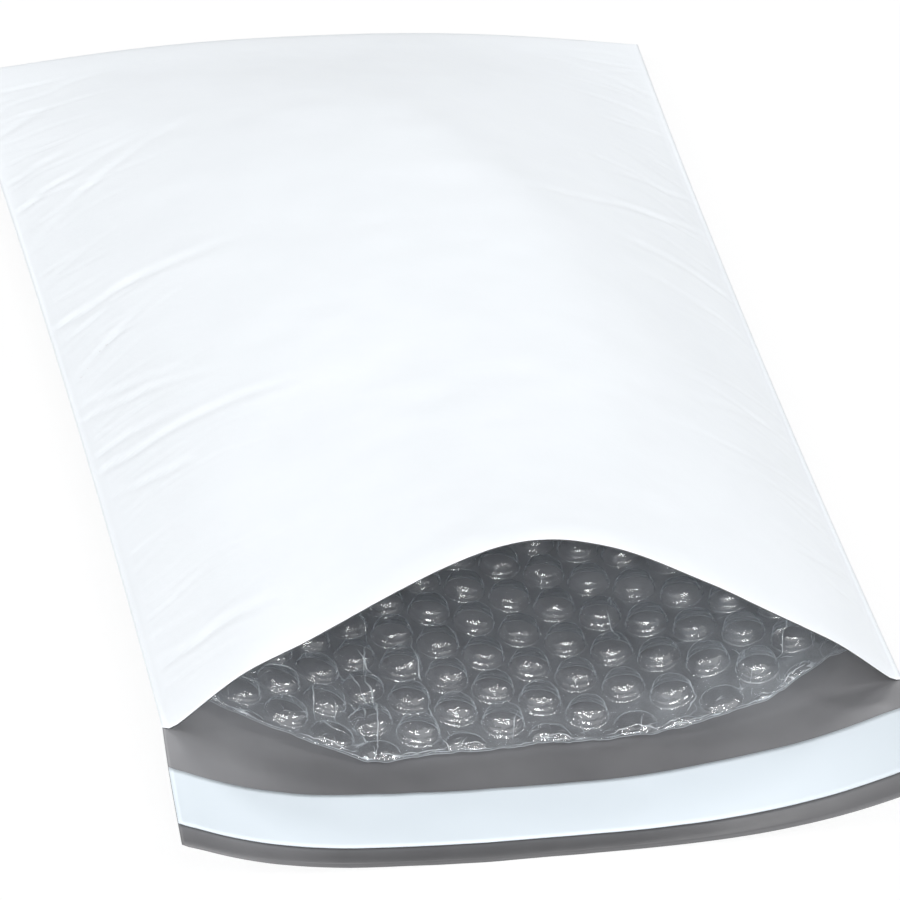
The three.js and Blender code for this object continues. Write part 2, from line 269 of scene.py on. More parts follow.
def fold_radius(u):
    return (front_height(u, POCKET_DEPTH) - back_height(u, POCKET_DEPTH)) / 2


def panel_end(u):
    return POCKET_DEPTH - fold_radius(u)


def plan_x(u, y):
    return centre_x(y) + half_width(y) * u


# Relief of the outer film: puckers drawn in by the side welds, soft folds and fine unevenness

# Each pucker: place along the seam, reach inwards, rise towards the fold, depth, width
LEFT_PUCKERS = [
    (243, 16, 8, 0.45, 2.6),
    (222, 20, 5, 0.40, 2.2),
    (207, 34, 13, 0.40, 2.0),
    (198, 9, 9, 0.35, 1.8),
    (189, 48, 36, 0.42, 2.2),
    (171, 11, 9, 0.35, 1.8),
    (156, 46, -2, 0.60, 2.8),
    (143, 11, 8, 0.40, 1.8),
    (131, 22, 13, 0.60, 2.2),
    (124, 26, -15, 0.40, 2.2),
    (117, 28, -11, 0.60, 2.2),
    (103, 22, -8, 0.45, 2.2),
    (94, 46, -6, 0.60, 2.6),
    (85, 20, -9, 0.60, 2.2),
    (69, 8, 3, 0.30, 1.8),
    (54, 9, 4, 0.30, 1.8),
    (31, 12, -5, 0.35, 2.2),
    (22, 28, -6, 0.40, 2.8),
]
RIGHT_PUCKERS = [
    (251, 18, 8, 0.30, 2.2),
    (236, 14, 5, 0.25, 2.0),
    (199, 30, -9, 0.35, 2.2),
    (184, 52, -19, 0.50, 2.4),
    (153, 36, 0, 0.45, 2.8),
    (133, 30, 4, 0.30, 2.4),
    (95, 32, -17, 0.40, 2.6),
    (62, 30, -10, 0.30, 2.6),
    (38, 22, -8, 0.25, 2.4),
]


def pucker(inward, y, place, reach, rise, depth, width):
    """A valley with low ridges beside it, which runs in from the weld and fades out."""
    along = inward / reach
    line = place + rise * clip01(along) ** 0.8 + 1.5 * smooth_noise(inward, place, 8, 24)
    depth = depth * (1 + 0.45 * smooth_noise(inward, place + 40, 6, 25))
    across = (y - line) / (width * (0.6 + 0.5 * clip01(along)))
    taper = clip01(1 - along) ** 0.8 * smooth_step((inward + 2.0) / 3.5)
    valley = (1 - 1.5 * across**2) * bell(across)
    return depth * taper * (0.35 * across * bell(across) - valley)


def small_puckers(inward, y, seed, count):
    rng = np.random.default_rng(seed)
    relief = 0
    for place in np.linspace(4, POCKET_DEPTH - 6, count):
        reach, rise = rng.uniform(7, 17) * rng.uniform(1, 2.6), rng.uniform(-6, 11)
        depth, width = rng.uniform(0.10, 0.30), rng.uniform(0.9, 1.7)
        offset = rng.uniform(-3, 3)
        relief = relief + pucker(inward, y, place + offset, reach, rise, depth, width)
    return relief


def inward_from_seam(u, y, side):
    return half_width(y) * (WELD_SHARE - side * u)


def seam_puckers(u, y, side, large, seed, count):
    inward = inward_from_seam(u, y, side)
    relief = small_puckers(inward, y, seed, count)
    for values in large:
        relief = relief + pucker(inward, y, *values)
    return relief


def distance_to_line(x, y, line):
    nearest = np.full(np.broadcast(x, y).shape, 1e9)
    for (x0, y0), (x1, y1) in zip(line, line[1:]):
        dx, dy = x1 - x0, y1 - y0
        t = clip01(((x - x0) * dx + (y - y0) * dy) / (dx * dx + dy * dy))
        nearest = np.minimum(nearest, np.hypot(x - x0 - t * dx, y - y0 - t * dy))
    return nearest


# Soft folds of the front panel: line in plan view, height (below 0 for a valley), reach, rounding
FRONT_FOLDS = [
    ([(8, 214), (29, 171), (33, 120), (30, 70), (20, 26), (12, 0)], 1.9, 26, 3.5),
    ([(-12, 200), (-19, 155), (-21, 110), (-18, 84)], -0.7, 15, 3.5),
    ([(-15, 66), (-12, 34), (-10, 6)], -0.8, 10, 2.5),
    ([(14, 196), (15, 178)], 0.8, 13, 5.0),
    ([(-62, 262), (0, 255), (45, 262)], -0.6, 14, 5.0),
]


# Unevenness of the front panel: height, squeeze along the pouch, grain size, seed
FRONT_UNEVENNESS = [
    (0.35, 0.8, 31, 21),
    (0.10, 1.4, 9.5, 22),
    (0.035, 1.0, 3.6, 23),
]


def soft_fold(x, y, line, height, reach, rounding):
    d = np.hypot(distance_to_line(x, y, line), rounding) - rounding
    return height * np.exp(-d / reach)


def front_relief(u, y):
    x = plan_x(u, y)
    relief = seam_puckers(u, y, -1, LEFT_PUCKERS, seed=11, count=62)
    relief = relief + 0.8 * seam_puckers(u, y, 1, RIGHT_PUCKERS, seed=12, count=52)
    for values in FRONT_FOLDS:
        relief = relief + soft_fold(x, y, *values)
    for height, squeeze, size, seed in FRONT_UNEVENNESS:
        relief = relief + height * smooth_noise(x, y * squeeze, size, seed)
    on_panel = smooth_step((WELD_SHARE - np.abs(u)) * 40)
    near_fold = smooth_step((POCKET_DEPTH - 4 - y) / 12)
    lip = -0.8 * clip01(1 - y / 7) ** 2
    return relief * on_panel * near_fold + lip * on_panel


# Relief of the back panel and flap, seen from inside: it never goes below the ground
FLAP_FOLDS = [
    ([(22, -2), (34, -7), (44, -6)], 0.8, 5.0, 1.6),
    ([(60, 2), (64, -2), (66, -6), (72, -8)], 0.9, 2.2, 0.6),
    ([(-80, -3), (-55, -7), (-40, -11)], 0.5, 5.0, 1.6),
    ([(-36, -2), (-30, -9)], 0.5, 4.0, 1.2),
    ([(-10, -4), (25, -3)], 0.25, 5.0, 2.0),
]


def back_relief(u, y):
    x = plan_x(u, y)
    relief = 0.22 + 0.20 * smooth_noise(x, y, 19, 31) + 0.05 * smooth_noise(x, y, 6, 32)
    for values in FLAP_FOLDS:
        relief = relief + soft_fold(x, y, *values)
    raised = smooth_step(back_height(u, y) / 1.2)
    puckers = seam_puckers(u, y, -1, [], seed=33, count=26) + seam_puckers(u, y, 1, [], seed=34, count=26)
    on_pocket = smooth_step(y / 10)
    relief = relief + raised * on_pocket * puckers
    on_panel = smooth_step((WELD_SHARE - np.abs(u)) * 30)
    near_fold = smooth_step((POCKET_DEPTH - 6 - y) / 16)
    return np.maximum(relief * on_panel * near_fold, -back_height(u, y))


# Points of a layer that lies the given depth inside the outside face


def back_point(u, y, depth):
    z = back_height(u, y) + back_relief(u, y) + depth
    return np.stack(np.broadcast_arrays(plan_x(u, y), y, z), -1)


def front_point(u, y, depth):
    pull = ARCH_PULL_BACK * arch_profile(u, y) ** 2 * open_share(y) ** 6
    lowest = back_height(u, y) + back_relief(u, y) + WELD_STACK * edge_thinning(u, y)
    z = np.maximum(front_height(u, y) + front_relief(u, y), lowest) - depth
    return np.stack(np.broadcast_arrays(plan_x(u, y), y + pull, z), -1)


def fold_point(u, angle, depth):
    y = panel_end(u)
    low, high = back_height(u, y), front_height(u, y)
    reach = np.maximum(fold_radius(u) - depth, 0)
    rise = np.maximum((high - low) / 2 - depth, 0)
    z = (low + high) / 2 + rise * np.sin(angle)
    return np.stack(np.broadcast_arrays(plan_x(u, y), y + reach * np.cos(angle), z), -1)


# Meshes


def make_piece(name, points, faces, materials, face_materials=None, flat_faces=None):
    mesh = bpy.data.meshes.new(name)
    mesh.from_pydata((np.asarray(points) + ROW_SHIFT) * MM, [], faces)
    for material in materials:
        mesh.materials.append(material)
    if face_materials is not None:
        mesh.polygons.foreach_set("material_index", face_materials)
    smooth = np.ones(len(mesh.polygons), bool) if flat_faces is None else ~flat_faces
    mesh.polygons.foreach_set("use_smooth", smooth)
    mesh.validate()
    mesh.update()
    piece = bpy.data.objects.new(name, mesh)
    bpy.context.scene.collection.objects.link(piece)
    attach(piece, "root")
    return piece


def grid_faces(rows, columns, start=0):
    i, j = np.meshgrid(np.arange(rows - 1), np.arange(columns - 1), indexing="ij")
    a = start + i * columns + j
    return np.stack([a, a + 1, a + columns + 1, a + columns], -1).reshape(-1, 4)


def border(rows, columns):
    index = np.arange(rows * columns).reshape(rows, columns)
    return np.concatenate([index[0], index[1:, -1], index[-1, -2::-1], index[-2:0:-1, 0]])


def closed_film(outside, inside):
    """A film with two faces and a rim; both grids of points have rows x columns x 3 numbers."""
    rows, columns, _ = outside.shape
    count = rows * columns
    loop = border(rows, columns)
    ahead = np.roll(loop, -1)
    rim = np.stack([loop, ahead, ahead + count, loop + count], -1)
    faces = [grid_faces(rows, columns)[:, ::-1], grid_faces(rows, columns, count), rim]
    points = np.concatenate([outside.reshape(-1, 3), inside.reshape(-1, 3)])
    kinds = np.repeat([0, 1, 2], [len(part) for part in faces])
    return points, np.concatenate(faces), kinds


# Outer film: flap, back panel and front panel, one sheet folded once and welded along both sides


# Its grid: columns between the welds, and rows of the flap, the back, the fold and the front.
# The back's rows are runs of shares of the panel, from and to, each with its count.
COLUMNS = 101
FLAP_ROWS, FOLD_ROWS, FRONT_ROWS = 27, 9, 330
BACK_ROWS = [(0, 0.11, 23), (0.13, 0.34, 14), (0.38, 1, 20)]


def outer_columns():
    middle = np.linspace(-WELD_SHARE, WELD_SHARE, COLUMNS)
    weld = np.array([WELD_SHARE + (1 - WELD_SHARE) * share for share in (0.5, 1.0)])
    return np.concatenate([-weld[::-1], middle, weld])


def outer_grid(depth):
    u = outer_columns()
    flap_y = np.linspace(-FLAP_LENGTH, 0, FLAP_ROWS)[:, None]
    back_share = np.concatenate([np.linspace(*run) for run in BACK_ROWS])[1:, None]
    angle = np.radians(np.linspace(-90, 90, FOLD_ROWS)[1:-1])[:, None]
    panel, lip = np.linspace(0.996, 0.016, FRONT_ROWS), np.linspace(0.013, 0, 5)
    front_share = np.concatenate([[1], panel, lip])[:, None]
    back_y, front_y = back_share * panel_end(u), front_share * panel_end(u)
    parts = [
        back_point(u, flap_y, depth * edge_thinning(u, flap_y)),
        back_point(u, back_y, depth * edge_thinning(u, back_y)),
        fold_point(u, angle, depth * edge_thinning(u, 0.0)),
        front_point(u, front_y, depth * edge_thinning(u, front_y)),
    ]
    return np.concatenate(parts)


def make_outer_film(white, grey, cut):
    """White outside, grey inside, and painted shade on the cut edge at the mouth and the flap's end."""
    outside = outer_grid(0)
    points, faces, kinds = closed_film(outside, outer_grid(OUTER_FILM))
    columns = outside.shape[1]
    at_side = faces[:, 0] % columns == faces[:, 1] % columns
    # The cut edges at the mouth and the flap's end get the near-black painted shade
    sides = np.where((kinds == 2) & at_side, 0, kinds)
    return make_piece("outer_film_sheet", points, faces, [white, grey, cut], sides, kinds == 2)


# Lining: at the left it spans taut from the crease to the weld, at the right it stands off the back
FACET_TAUTNESS = 0.85
RIGHT_LIFT = 3.2
CREASE_DEPTH = 0.5


def lining_limit(y):
    margin = lerp(MARGIN_AT_FOLD, MARGIN_AT_MOUTH, np.sqrt(open_share(y)))
    return WELD_SHARE - margin / half_width(y)


def lining_lift(u, y):
    """How far the lining stands off the back panel near the mouth."""
    x = plan_x(u, y)
    limit = lining_limit(y)
    seam_x = plan_x(-limit, y)
    rise = back_height(-limit, y) + 0.6
    chord = rise * clip01((CREASE_X - x) / (CREASE_X - seam_x))
    left = np.maximum(chord - back_height(u, y), 0) * FACET_TAUTNESS * fade(y, 25, 60)
    from_weld = smooth_step((limit - u) * 5)
    right = RIGHT_LIFT * smooth_step((x - 16) / 34) * from_weld * fade(y, 12, 50)
    crease = -CREASE_DEPTH * bell((x - CREASE_X) / 1.6) * fade(y, 30, 20)
    uneven = 0.35 + 0.3 * smooth_noise(x, y, 17, 41)
    return left + right + uneven + np.maximum(crease, -0.3)


def sheet_share(x, s):
    """Share of the half width at a place of the flat sheet."""
    y = np.minimum(s, SHEET_PANEL) * POCKET_DEPTH / SHEET_PANEL
    return np.where(s <= SHEET_PANEL, (x - centre_x(y)) / half_width(y), x / FOLD_HALF_WIDTH)


def sheet_y(u, s):
    """Distance from the mouth line, on either panel."""
    along = np.where(s <= SHEET_PANEL, s, SHEET_LENGTH - s)
    return np.minimum(along, SHEET_PANEL) * panel_end(u) / SHEET_PANEL


def sheet_point(u, s, depth):
    u, s = np.broadcast_arrays(u, s)
    y = sheet_y(u, s)
    points = np.empty((*u.shape, 3))
    back, front = s <= SHEET_PANEL, s >= SHEET_PANEL + SHEET_FOLD
    fold = ~(back | front)
    points[back] = back_point(u[back], y[back], depth)
    lift = lining_lift(u[back], y[back]) * smooth_step((SHEET_PANEL - s[back]) / 14)
    points[back, 2] += lift
    near_seam = smooth_step((np.abs(u[front]) - 0.45) / 0.25) * smooth_step(open_share(y[front]) * 4)
    points[front] = front_point(u[front], y[front], depth + PUCKER_ROOM * near_seam)
    angle = ((s[fold] - SHEET_PANEL) / SHEET_FOLD - 0.5) * math.pi
    points[fold] = fold_point(u[fold], angle, depth)
    return points


def sheet_normal(u, s):
    du, ds = 0.004, 0.4
    across = sheet_point(u + du, s, BUBBLE_DEPTH) - sheet_point(u - du, s, BUBBLE_DEPTH)
    along = sheet_point(u, s + ds, BUBBLE_DEPTH) - sheet_point(u, s - ds, BUBBLE_DEPTH)
    normal = np.cross(across, along)
    return normal / np.maximum(np.linalg.norm(normal, axis=-1, keepdims=True), 1e-9)


def back_edge(u):
    """Ragged cut edge of the lining, as seen from above: far in at the sides, out at the crease."""
    x = plan_x(u, 0.0)
    edge = np.interp(x, *zip(*CUT_EDGE))
    ragged = 0.35 * smooth_noise(x, x * 0, 3.1, 51) + 0.25 * smooth_noise(x, x * 0, 1.3, 52)
    return edge + ragged - 1.35 * lining_lift(u, np.maximum(edge, 2.0))


def front_edge(u):
    ragged = 0.4 * smooth_noise(u * 91, u * 0, 4.0, 53)
    return SHEET_LENGTH - (6 + 7 * u * u + ragged)


def keep_on_sheet(u, s):
    """Moves places that lie off the lining onto its edges."""
    limit = lining_limit(sheet_y(np.clip(u, -0.98, 0.98), s))
    kept_u = np.clip(u, -limit, limit)
    return kept_u, np.clip(s, back_edge(kept_u), front_edge(kept_u))


# Bubble cells: a centrally symmetric hexagon on the lattice, with rings of points up the dome

DOME_PROFILE = [
    # radius, height share
    (1.06, 0.000),
    (1.00, 0.030),
    (0.985, 0.15),
    (0.967, 0.295),
    (0.957, 0.311),
    (0.918, 0.370),
    (0.908, 0.386),
    (0.895, 0.50),
    (0.85, 0.68),
    (0.76, 0.82),
    (0.61, 0.93),
    (0.38, 0.985),
]
PLAIN_DOME_PROFILE = [(1.03, 0.0), (0.92, 0.55), (0.58, 0.94)]
SEAL_RIDGE = 0.08
CRUSHED_EDGE = 2.0
PRESSED_HEIGHT = 0.12

# Milkiness of the film at the webs, the welded rings, the cut edge and folded threads, and what handling
# adds on the crumpled facet and beside the cut edge. On the facet it includes painted highlight, and
# towards the right it is painted reflection of bright light.
WEB_HAZE = 0.10
RING_HAZE = 0.20
CUT_HAZE = 0.16
THREAD_HAZE = 0.72
FACET_HAZE_AND_HIGHLIGHT = 0.06
RIGHT_PAINTED_REFLECTION = 0.26
NEAR_CUT_HAZE = 0.06

# Points round a dome, and how far from the mouth domes are made finely
FINE_SEGMENTS = 24
PLAIN_SEGMENTS = 12
FINE_REACH_ON_BACK, FINE_REACH_ON_FRONT = 88, 34

# How far from the mouth bubbles can be crumpled, and the lattice numbers that are tried
MOUTH_REACH = 60
LATTICE_REACH, COLUMN_REACH = 60, 14

CELL_CORNERS = [(2, 2), (4, -2), (2, -4), (-2, -2), (-4, 2), (-2, 4)]


def lattice_place(i, j):
    """Flat place of a lattice point; the columns lean, and near the mouth the rows fan out."""
    x = FIRST_BUBBLE[0] + COLUMN_STEP * (i + j)
    s = FIRST_BUBBLE[1] + ROW_STEP / 2 * (i - j) + ROW_TILT * COLUMN_STEP * (i + j)
    s = s + ROW_FAN * np.clip(x, -30, 35) * np.clip(s, 0, 60)
    return x + COLUMN_LEAN * s, s


def cell_outline():
    """Offsets of the outline's 24 points in twenty-fourths of the two lattice steps, anticlockwise."""
    points = []
    for (i0, j0), (i1, j1) in zip(CELL_CORNERS, CELL_CORNERS[1:] + CELL_CORNERS[:1]):
        for k in range(4):
            points.append((i0 * (4 - k) + i1 * k, j0 * (4 - k) + j1 * k))
    return points


class BubbleSheet:
    """Collects the cells' points in flat coordinates with a height over the lining."""

    def __init__(self):
        self.places, self.heights, self.seals, self.faces = [], [], [], []
        self.shared = {}
        self.domes = []

    def add(self, x, s, height, seal):
        self.places.append((x, s))
        self.heights.append(height)
        self.seals.append(seal)
        return len(self.places) - 1

    def outline_point(self, key):
        if key not in self.shared:
            x, s = lattice_place(key[0] / 24, key[1] / 24)
            self.shared[key] = self.add(x, s, SEAL_RIDGE, WEB_HAZE)
        return self.shared[key]

    def join_rings(self, outer, inner):
        """Joins two rings of points; the outer one may have twice as many."""
        ratio = len(outer) // len(inner)
        count = len(inner)
        for k in range(count):
            near, far = inner[k], inner[(k + 1) % count]
            ring = [outer[(k * ratio + m) % len(outer)] for m in range(ratio + 1)]
            if ratio == 1:
                self.faces.append((ring[0], ring[1], far, near))
            else:
                self.faces.append((ring[0], ring[1], near))
                self.faces.append((ring[1], far, near))
                self.faces.append((ring[1], ring[2], far))


def lattice_cells():
    """Every cell that touches the sheet: its lattice numbers, flat place, dome height and trim."""
    numbers = np.arange(-LATTICE_REACH, LATTICE_REACH + 1)
    i, j = np.meshgrid(numbers, numbers, indexing="ij")
    near = np.abs(i + j) <= COLUMN_REACH
    i, j = i[near], j[near]
    x, s = lattice_place(i, j)
    angles = np.linspace(0, 2 * math.pi, 12, endpoint=False)
    rim_x = x[:, None] + BUBBLE_RADIUS * np.cos(angles)
    rim_s = s[:, None] + BUBBLE_RADIUS * np.sin(angles)
    cell_x = x[:, None] + 1.6 * (rim_x - x[:, None])
    cell_s = s[:, None] + 1.6 * (rim_s - s[:, None])
    kept = rim_is_kept(cell_x, cell_s).any(axis=1)
    whole = rim_is_kept(rim_x, rim_s).all(axis=1)
    u = np.clip(sheet_share(x, s), -0.95, 0.95)
    y = sheet_y(u, s)
    room = front_height(u, y) - back_height(u, y) - 2 * BUBBLE_DEPTH
    height = np.minimum(BUBBLE_HEIGHT, 0.44 * np.maximum(room - 1.0, 0.4))
    columns = (i, j, x, s, height, whole)
    return zip(*(values[kept].tolist() for values in columns))


def rim_is_kept(x, s):
    u = sheet_share(x, s)
    inside = np.clip(u, -0.98, 0.98)
    on_width = np.abs(u) < lining_limit(sheet_y(inside, s))
    return on_width & (s > back_edge(inside)) & (s < front_edge(inside))


def dome_fill(x, s, whole, rng):
    """Share of a bubble's height that is left: cut and crumpled ones are partly flat."""
    near_mouth = s < MOUTH_REACH
    slack = rng.uniform(0.88, 1.0)
    if not whole:
        return 0.32
    if near_mouth and abs(x - CREASE_X + 1) < 6:
        return 0.7
    if near_mouth and x < CREASE_X - 3:
        return 0.72 * slack
    return slack


def add_cell(sheet, i, j, x, s, height, whole, rng):
    keys = [(24 * i + p, 24 * j + q) for p, q in cell_outline()]
    ring = [sheet.outline_point(key) for key in keys]
    first_x, first_s = sheet.places[ring[0]]
    fine = s < FINE_REACH_ON_BACK or s > SHEET_LENGTH - FINE_REACH_ON_FRONT
    profile = DOME_PROFILE if fine else PLAIN_DOME_PROFILE
    segments = FINE_SEGMENTS if fine else PLAIN_SEGMENTS
    fill = dome_fill(x, s, whole, rng)
    shape = dome_shape(rng, rough=1.0 if fill > 0.8 else 2.2)
    turn = math.atan2(first_s - s, first_x - x)
    angles = turn + np.arange(segments) * 2 * math.pi / segments
    sheet.domes.append((x, s, height * fill))
    for radius, share in profile:
        r, h = shape(radius, share, angles)
        seal = WEB_HAZE if radius > 1.02 else RING_HAZE if radius > 0.99 else 0.0
        xs = (x + BUBBLE_RADIUS * r * np.cos(angles)).tolist()
        ss = (s + BUBBLE_RADIUS * r * np.sin(angles)).tolist()
        hs = (SEAL_RIDGE + height * fill * h).tolist()
        inner = [sheet.add(px, ps, ph, seal) for px, ps, ph in zip(xs, ss, hs)]
        sheet.join_rings(ring, inner)
        ring = inner
    _, top_h = shape(0.0, 1.0, np.array([0.0]))
    top = sheet.add(x, s, SEAL_RIDGE + height * fill * float(top_h[0]), 0.0)
    for k in range(segments):
        sheet.faces.append((ring[k], ring[(k + 1) % segments], top))


def dome_shape(rng, rough):
    """A dome with slack film: wrinkles round its shoulder, a tilted top and one soft dent."""
    waves = [(k, rng.uniform(-1, 1), rng.uniform(0, 2 * math.pi)) for k in (2, 3, 5, 7, 9, 11)]
    pleats = [(k, rng.uniform(0.5, 1), rng.uniform(0, 2 * math.pi)) for k in (7, 8, 10)]
    tilt, tilt_angle = rng.uniform(0.0, 0.07), rng.uniform(0, 2 * math.pi)
    dent_angle, dent_radius = rng.uniform(0, 2 * math.pi), rng.uniform(0.2, 0.6)
    dent_depth = rng.uniform(0.02, 0.13) * rough

    def shape(radius, share, angles):
        ripple = sum(a * np.cos(k * angles + phase) / (1 + 0.25 * k) for k, a, phase in waves)
        shoulder = bell((share - 0.75) / 0.4)
        r = radius * (1 + 0.022 * rough * ripple * shoulder * (radius > 0.3))
        pleat = sum(a * np.cos(k * angles + phase) for k, a, phase in pleats)
        h = share * (1 + 0.035 * rough * ripple * shoulder)
        h = h + 0.012 * rough * pleat * bell((radius - 0.6) / 0.22)
        h = h + tilt * radius * max(share - 0.4, 0) * np.cos(angles - tilt_angle)
        dx = radius * np.cos(angles) - dent_radius * math.cos(dent_angle)
        dy = radius * np.sin(angles) - dent_radius * math.sin(dent_angle)
        h = h - dent_depth * share * bell(np.hypot(dx, dy) / 0.33)
        return r, h

    return shape


# Painted reflection towards the right; on the crumpled facet milkiness from handling with some painted
# highlight; beside the cut edge milkiness from handling
def milkiness_and_painted_reflection(x, s):
    on_facet = smooth_step((CREASE_X + 3 - x) / 5) * (s < 70)
    painted_reflection_at_right = smooth_step((x - 12) / 45) * smooth_step((66 - s) / 30)
    near_cut = smooth_step((30 - s) / 26)
    clouds = clip01(0.55 + 0.5 * smooth_noise(x, s, 3.7, 62))
    return (FACET_HAZE_AND_HIGHLIGHT * on_facet + RIGHT_PAINTED_REFLECTION * painted_reflection_at_right + NEAR_CUT_HAZE * near_cut) * clouds


def lay_on_lining(sheet):
    """The sheet's points in the pouch and how milky each is, painted reflection included; the film is
    pressed flat at its edges.
    """
    x, s = np.array(sheet.places).T
    flat_u = sheet_share(x, s)
    u, kept_s = keep_on_sheet(flat_u, s)
    trimmed = (np.abs(u - flat_u) > 1e-9) | (np.abs(kept_s - s) > 1e-9)
    y = sheet_y(u, kept_s)
    from_side = (lining_limit(y) - np.abs(u)) * half_width(y)
    from_edge = np.minimum(np.minimum(kept_s - back_edge(u), front_edge(u) - kept_s), from_side)
    height = np.array(sheet.heights) + 0.06 * smooth_noise(x, s, 4.5, 61) - PRESSED_HEIGHT
    height = PRESSED_HEIGHT + height * smooth_step(0.08 + from_edge / CRUSHED_EDGE)
    points = sheet_point(u, kept_s, BUBBLE_DEPTH) + sheet_normal(u, kept_s) * height[:, None]
    return points, np.maximum(np.array(sheet.seals), trimmed * CUT_HAZE) + milkiness_and_painted_reflection(x, s)


def make_bubble_film(material):
    sheet = BubbleSheet()
    rng = np.random.default_rng(7)
    for i, j, x, s, height, whole in lattice_cells():
        add_cell(sheet, i, j, x, s, height, whole, rng)
    for number, line in enumerate(CREASES):
        add_crease(sheet, line, 200 + 5 * number)
    add_cut_edge_threads(sheet)
    add_scratches(sheet, rng, SCRATCH_ZONES)
    points, seals = lay_on_lining(sheet)
    piece = make_piece("lining_bubbles", points, sheet.faces, [material])
    paint_seal(piece, seals)
    tidy_mesh(piece)
    return piece


# Threads of folded film: half width, height and step between their points
THREAD_WIDTH, THREAD_HEIGHT, THREAD_STEP = 0.135, 0.22, 0.45

# Sharp creases of the crumpled film near the cut edge, in flat coordinates
CREASES = [
    [(-37.4, -2.5), (-35.5, 1.5), (-33.8, 12.6), (-33.2, 18.3), (-34.4, 22), (-33.5, 29), (-31.9, 36)],
    [(-36.4, 0.0), (-38.0, 7.5), (-36.5, 13.0), (-38.4, 19.0)],
    [(-20.8, 39), (-21.8, 30), (-21.3, 21.1), (-21.2, 9.9), (-20.2, -0.5)],
    [(27.7, 48.5), (24.0, 39.0), (25.8, 33.9), (23.6, 29.6)],
    [(-31.2, 50), (-30.4, 44), (-30.3, 39)],
    [(-34.4, 34), (-31.1, 27.3)],
    [(-37.8, 27.5), (-36.6, 23.0), (-35.6, 20.2), (-33.4, 16.0)],
    [(-40.5, 34), (-38.6, 27), (-36.2, 21)],
    [(-47.3, 20.5), (-48.2, 16.0), (-47.7, 12.0)],
    [(-46.5, 35), (-47.2, 28.5)],
    [(-53.5, 18.2), (-55.2, 14.8), (-56.6, 12.6)],
    [(-47.3, 10.3), (-45.0, 7.0), (-41.5, 4.6)],
    [(-60.5, 16.5), (-66.0, 19.0), (-71.0, 19.5)],
    [(-50.5, 24.0), (-56.0, 25.5), (-62.5, 24.0)],
    [(46.5, 9.0), (49.0, 14.5), (47.8, 19.5)],
    [(55.5, 12.0), (58.8, 16.0), (61.5, 21.5)],
    [(33.5, 3.0), (36.5, 7.5), (35.6, 12.0)],
    [(9.5, 3.2), (12.6, 4.2), (15.2, 3.4)],
]


def film_height(sheet, x, s):
    """Height of the domed film over the lining at places of the flat sheet."""
    radii, shares = zip(*DOME_PROFILE[::-1])
    height = np.full(np.shape(x), SEAL_RIDGE)
    for dome_x, dome_s, dome_height in sheet.domes:
        r = np.hypot(x - dome_x, s - dome_s) / BUBBLE_RADIUS
        height = np.maximum(height, SEAL_RIDGE + dome_height * np.interp(r, radii, shares) * (r < 1.06))
    return height


def add_crease(sheet, line, seed, width=THREAD_WIDTH, haze=THREAD_HAZE):
    """A narrow raised thread of folded film that follows the domes it runs over."""
    rng = np.random.default_rng(seed)
    corners = np.array(line, float)
    lengths = np.hypot(*np.diff(corners, axis=0).T)
    along = np.concatenate([[0], np.cumsum(lengths)])
    t = np.arange(0, along[-1], THREAD_STEP)
    x, s = (np.interp(t, along, corners[:, k]) for k in (0, 1))
    sway = 0.28 * smooth_noise(t, t * 0, 2.3, seed) + 0.12 * smooth_noise(t, t * 0, 0.9, seed + 1)
    ahead = np.gradient(np.stack([x, s]), axis=1)
    side = np.stack([-ahead[1], ahead[0]]) / np.hypot(*ahead)
    taper = np.minimum(1, np.minimum(t + 0.3, along[-1] - t) / 3)
    half = width * rng.uniform(0.75, 1.25) * taper * (1 + 0.5 * smooth_noise(t, t * 0, 1.6, seed + 2))
    top = film_height(sheet, x, s) + 0.06
    milky = haze * clip01(0.7 + 0.8 * smooth_noise(t, t * 0, 3.1, seed + 3))
    edges = []
    for offset, lift in ((-1, 0.0), (0, THREAD_HEIGHT), (1, 0.0)):
        px, ps = x + side[0] * (sway + offset * half), s + side[1] * (sway + offset * half)
        rows = zip(px.tolist(), ps.tolist(), (top + lift * taper).tolist(), milky.tolist())
        edges.append([sheet.add(*row) for row in rows])
    for low, high in zip(edges, edges[1:]):
        for k in range(len(t) - 1):
            sheet.faces.append((low[k], low[k + 1], high[k + 1], high[k]))


# Places across the sheet where the cut edge curls over
CURLED_SPOTS = (-66, -52, -40, -31, -17, 8, 27, 38, 49, 61)


def cut_edge_line(low, high, offset):
    x = np.arange(low, high, 1.5)
    u = (x - centre_x(0.0)) / half_width(0.0)
    return list(zip(x.tolist(), (back_edge(u) + offset).tolist()))


def add_cut_edge_threads(sheet):
    """The knife leaves a thin curled thread along the edge, doubled in places."""
    add_crease(sheet, cut_edge_line(-74, -36, 0.2), 401, width=0.11)
    add_crease(sheet, cut_edge_line(-37, 74, 0.2), 402, width=0.11)
    for number, start in enumerate(range(-70, 66, 17)):
        end = start + 8 + 5 * (number % 3)
        second = cut_edge_line(start, end, 0.9 + 0.3 * (number % 2))
        add_crease(sheet, second, 410 + number, width=0.09)
    for number, start in enumerate(CURLED_SPOTS):
        curl = cut_edge_line(start, start + 3.2, 0.3)
        add_crease(sheet, curl, 430 + number, width=0.5, haze=0.9)


# Short scratches and folds: x from and to, distance from the cut edge from and to, count
SCRATCH_ZONES = [
    (-72, -36, 0.3, 16, 46),
    (-44, -33, 0.3, 30, 22),
    (-33, 40, 0.2, 3.2, 30),
    (40, 72, 0.2, 9, 26),
]


